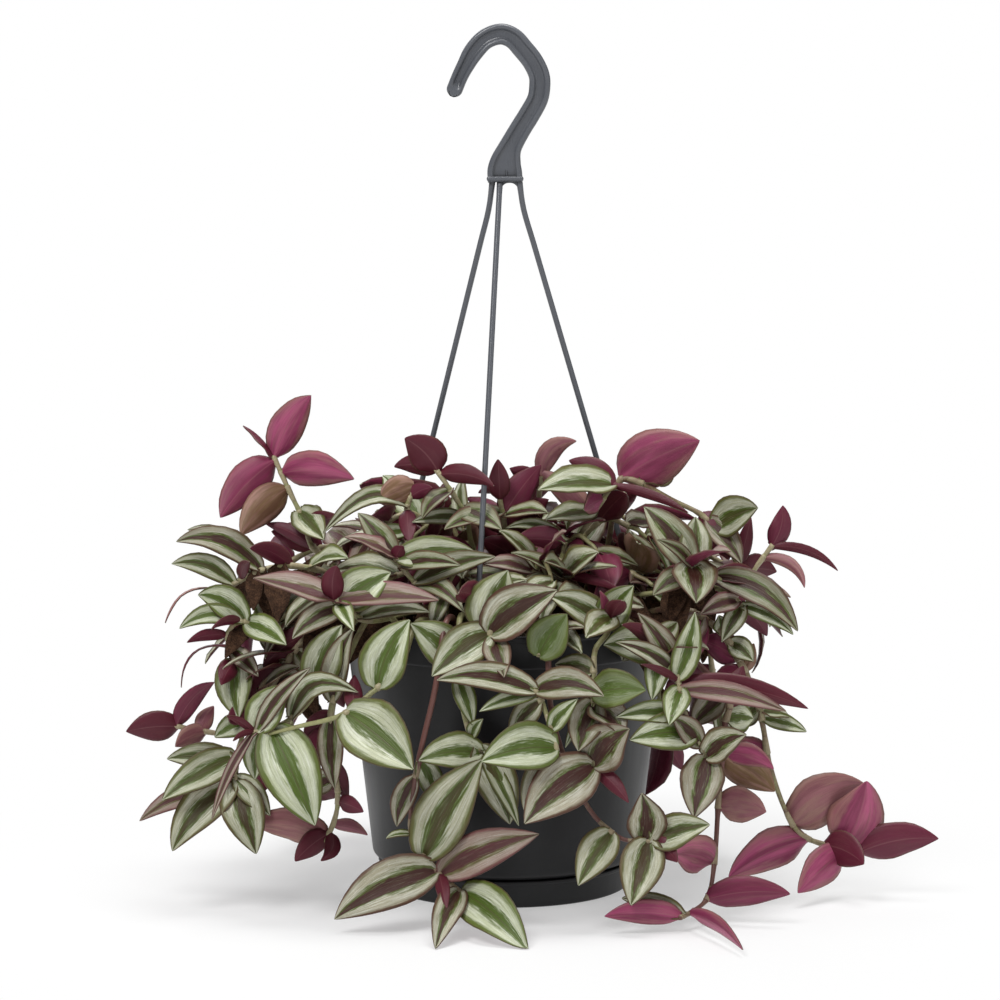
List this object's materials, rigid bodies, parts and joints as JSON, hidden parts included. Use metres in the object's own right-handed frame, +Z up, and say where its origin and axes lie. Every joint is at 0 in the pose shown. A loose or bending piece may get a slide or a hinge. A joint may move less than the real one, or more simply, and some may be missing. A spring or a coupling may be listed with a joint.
{
  "type": "potted trailing houseplant",
  "caption": "Hanging pot on its saucer with a three-legged hook hanger, filled with soil and arching, trailing cuttings of striped oval leaves.",
  "frame": {"origin": "middle of the saucer's underside, on the pot's axis", "axes": "+Z up along the pot's axis, -Y towards the plant's front, +X to the right seen from the front"},
  "size_m": [0.412, 0.2954, 0.4436],
  "materials": {
    "pot_plastic": "dark grey moulded plastic, faintly satin",
    "hanger_plastic": "mid grey moulded plastic",
    "soil": "dark peat with dry litter",
    "foliage": "silver and green striped leaves, magenta undersides, purple-brown stems"
  },
  "bodies": {
    "root": {"cutting_arch_back": "foliage", "cutting_arch_back_left": "foliage", "cutting_arch_back_right": "foliage", "cutting_arch_left": "foliage", "cutting_arch_right": "foliage", "cutting_crown_back": "foliage", "cutting_crown_back_left": "foliage", "cutting_crown_back_right": "foliage", "cutting_crown_left": "foliage", "cutting_crown_right": "foliage", "cutting_front_green": "foliage", "cutting_front_left": "foliage", "cutting_front_low": "foliage", "cutting_front_middle": "foliage", "cutting_front_right": "foliage", "cutting_hang_back": "foliage", "cutting_hang_back_left": "foliage", "cutting_hang_back_right": "foliage", "cutting_hang_left": "foliage", "cutting_hang_right": "foliage", "cutting_left_canopy": "foliage", "cutting_left_front": "foliage", "cutting_left_low": "foliage", "cutting_left_middle": "foliage", "cutting_left_sprig": "foliage", "cutting_left_top": "foliage", "cutting_left_under": "foliage", "cutting_left_upper": "foliage", "cutting_middle_canopy": "foliage", "cutting_right_canopy": "foliage", "cutting_right_front": "foliage", "cutting_right_front_low": "foliage", "cutting_right_long": "foliage", "cutting_right_middle": "foliage", "cutting_right_sprig": "foliage", "cutting_right_top": "foliage", "cutting_right_trailing": "foliage", "cutting_right_upper": "foliage", "cutting_top_centre": "foliage", "cutting_top_left": "foliage", "cutting_top_middle": "foliage", "cutting_top_right": "foliage", "hanger_hook": "hanger_plastic", "hanger_leg_front": "hanger_plastic", "hanger_leg_left": "hanger_plastic", "hanger_leg_right": "hanger_plastic", "pot": "pot_plastic", "potting_soil": "soil", "saucer": "pot_plastic"}
  },
  "joints": []
}
